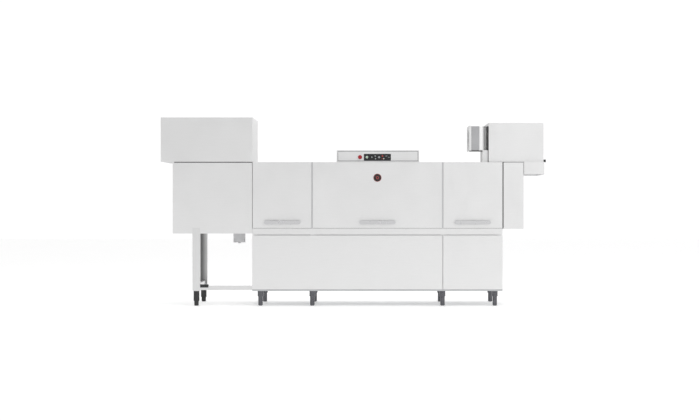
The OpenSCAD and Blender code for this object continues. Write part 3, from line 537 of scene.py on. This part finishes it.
def add_symbols():
    """Plain touch symbols on the display: an arrow, dots and bars."""
    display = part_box("display")
    front = display[0][1] - 0.0004
    rear = display[0][1] + 0.0002
    middle = (display[0][2] + display[1][2]) / 2
    left = display[0][0]

    def domed(size):
        return [(size, 0), (size, 0.0005), (size * 0.9, 0.0006)]

    def symbol(name, look, shapes):
        form = bmesh.new()
        for kind, x, z, size in shapes:
            place = (left + x, rear, middle + z)
            if kind == "dot":
                add_lathe(form, domed(size), place, (0, -1, 0))
            elif kind == "arrow":
                add_lathe(form, domed(size), place, (0, -1, 0), 3)
            elif kind == "bar":
                add_box(form, (left + x - size, front, middle + z - size / 4),
                        (left + x + size, rear, middle + z + size / 4), 0.0001)
        from_bmesh(name, form, look, "root")

    symbol("display_arrow", "grey_key", [("arrow", 0.084, 0, 0.011)])
    symbol("display_greys", "grey_key", [("dot", 0.119, 0.013, 0.007), ("dot", 0.122, -0.016, 0.007),
                                         ("dot", 0.160, 0, 0.011), ("bar", 0.236, 0.013, 0.010)])
    symbol("display_reds", "red_key", [("dot", 0.196, 0.013, 0.008), ("bar", 0.196, -0.016, 0.009)])
    symbol("display_whites", "white", [("dot", 0.209, -0.016, 0.006), ("bar", 0.262, 0, 0.006)])

    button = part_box("start_button")
    centre = ((button[0][0] + button[1][0]) / 2, button[0][1] + 0.0001,
              (button[0][2] + button[1][2]) / 2)
    form = bmesh.new()
    add_lathe(form, [(0.0072, 0), (0.0072, 0.0006), (0.0064, 0.0008)], centre, (0, -1, 0))
    from_bmesh("start_symbol", form, "green_key", "start_button")


def add_control_trim():
    """Grey joint line round the control box's recessed face, and the badge's red ring."""
    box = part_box("control_housing")
    face = box[0][1] + 0.006
    form = bmesh.new()
    add_frame(form, (box[0][0] + 0.0102, face - 0.0030, box[0][2] + 0.0122),
              (box[1][0] - 0.0102, face - 0.0001, box[1][2] - 0.0102), 0.005, 1)
    from_bmesh("control_trim", form, "trim", "root")

    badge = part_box("badge")
    centre = ((badge[0][0] + badge[1][0]) / 2, badge[0][1], (badge[0][2] + badge[1][2]) / 2)
    form = bmesh.new()
    add_ring(form, centre, ((0.0385, -0.0002), (0.0415, -0.0002),
                            (0.0412, 0.0006), (0.0388, 0.0006)))
    add_ring(form, centre, ((0.0100, -0.0020), (0.0150, -0.0020),
                            (0.0148, -0.0012), (0.0102, -0.0012)))
    from_bmesh("badge_rings", form, "red_key", "wash_door", True)


def add_ring(form, centre, profile, steps=40):
    """Ring turned about Y from (radius, distance in front of the centre) points."""
    rings = [[form.verts.new((centre[0] + radius * math.cos(a), centre[1] - out,
                              centre[2] + radius * math.sin(a)))
              for a in (2 * math.pi * i / steps for i in range(steps))]
             for radius, out in profile]
    for lower, upper in zip(rings, rings[1:] + rings[:1]):
        for i in range(steps):
            j = (i + 1) % steps
            form.faces.new((lower[i], lower[j], upper[j], upper[i]))


def add_stop_collar():
    """Black collar round the stop button's stem."""
    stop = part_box("e_stop_button")
    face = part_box("control_housing")[0][1] + 0.006
    centre = ((stop[0][0] + stop[1][0]) / 2, face, (stop[0][2] + stop[1][2]) / 2)
    form = bmesh.new()
    add_ring(form, centre, ((0.0150, 0.0), (0.0200, 0.0), (0.0200, 0.0030), (0.0190, 0.0040),
                            (0.0155, 0.0040), (0.0150, 0.0035)), 32)
    from_bmesh("stop_collar", form, "black", "root", True)


# ---------- fasteners, hoods and panels ----------

def add_screws():
    """Domed screws with a small dip at the top, along the rear, end and casing panels."""
    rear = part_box("rear_end_panels")
    hood, casing, condenser = (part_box(n) for n in ("tunnel_hood", "dryer_casing",
                                                   "condenser_casing"))
    rear_y = hood[1][1]
    spots = []
    for i in range(15):
        x = hood[0][0] + 0.055 + i * (hood[1][0] - hood[0][0] - 0.11) / 14
        spots += [((x, rear_y, hood[1][2] - 0.03), (0, 1, 0)),
                  ((x, rear_y, hood[0][2] + 0.03), (0, 1, 0)),
                  ((x, rear[1][1], rear[0][2] + 0.03), (0, 1, 0)),
                  ((x, rear[1][1], rear[1][2] - 0.03), (0, 1, 0))]
    for box in (casing, condenser):
        for i in range(5):
            x = box[0][0] + 0.04 + i * (box[1][0] - box[0][0] - 0.08) / 4
            spots += [((x, box[1][1], box[0][2] + 0.03), (0, 1, 0)),
                      ((x, box[1][1], box[1][2] - 0.03), (0, 1, 0))]
    for i in range(4):
        z = rear[0][2] + 0.04 + i * (rear[1][2] - rear[0][2] - 0.08) / 3
        spots += [((rear[1][0], casing[0][1] + 0.05, z), (1, 0, 0)),
                  ((rear[1][0], casing[1][1] - 0.05, z), (1, 0, 0))]
    form = bmesh.new()
    for place, axis in spots:
        add_lathe(form, [(0.0052, -0.0004), (0.0052, 0.0006), (0.0046, 0.0016), (0.0028, 0.0023),
                         (0.0014, 0.0024), (0.0012, 0.0016)], place, axis, 12)
    from_bmesh("panel_screws", form, "handle", "root", True)


def add_louvre_hoods():
    """Pressed hoods over the rear panel's air slots."""
    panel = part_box("rear_end_panels")
    form = bmesh.new()
    rows, first, pitch, height = 9, 0.324, 0.024, 0.012
    shift = (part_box("wash_door")[0][0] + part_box("wash_door")[1][0]) / 2
    steps = 6
    for x in (-0.25, 0.15):
        for row in range(rows):
            z = first + row * pitch
            low, high = shift + x - 0.004, shift + x + 0.224
            arc = [(panel[1][1] + 0.007 * math.sin(a), z + 0.008 - height * (1 - math.cos(a)) / 2)
                   for a in (math.pi * 0.5 * i / steps for i in range(steps + 1))]
            outer = [[form.verts.new((x_end, y, zz)) for y, zz in arc] for x_end in (low, high)]
            inner = [[form.verts.new((x_end, y - 0.0008, zz - 0.0008)) for y, zz in arc]
                     for x_end in (low + 0.0008, high - 0.0008)]
            for i in range(steps):
                form.faces.new((outer[0][i], outer[1][i], outer[1][i + 1], outer[0][i + 1]))
                form.faces.new((inner[0][i], inner[0][i + 1], inner[1][i + 1], inner[1][i]))
            for end in (0, 1):
                for i in range(steps):
                    form.faces.new((outer[end][i], outer[end][i + 1], inner[end][i + 1],
                                    inner[end][i]))
            for i in (0, steps):
                form.faces.new((outer[0][i], inner[0][i], inner[1][i], outer[1][i]))
    from_bmesh("louvre_hoods", form, "panel", "root")


def add_access_panels():
    """Thin cover plates: the condenser's side panel that the knob clamps, and the casing's top."""
    condenser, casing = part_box("condenser_casing"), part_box("dryer_casing")
    form = bmesh.new()
    add_box(form, (condenser[1][0] - 0.0002, condenser[0][1] + 0.05, condenser[0][2] + 0.045),
            (condenser[1][0] + 0.0022, condenser[1][1] - 0.05, condenser[1][2] - 0.04), 0.001)
    add_box(form, (casing[0][0] + 0.05, casing[0][1] + 0.05, casing[1][2] - 0.0015),
            (casing[1][0] - 0.05, casing[1][1] - 0.05, casing[1][2] - 0.0002), 0.0005)
    from_bmesh("access_panels", form, "panel", "root")


LOOK = {}
add_camera()
LOOK.update(make_materials())
add_world()
add_floor()
dress_nodes()
add_seals()
add_fan_box_trim()
add_brace_clamp()
add_control_trim()
add_tapes()
add_handle_collars()
add_symbols()
add_stop_collar()
add_screws()
add_louvre_hoods()
add_access_panels()

half_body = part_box("tunnel_hood")
centre_x = (half_body[0][0] + half_body[1][0]) / 2
area_light("key", (centre_x + 4.5, -8.0, 4.5), (centre_x, 0, 0.9), (4, 4), 55)
area_light("top", (centre_x, -1.0, 7.5), (centre_x, -1.0, 0), (12, 8), 170)
area_light("back", (centre_x, 7.0, 4.0), (centre_x, 0, 0.9), (5, 3), 40)
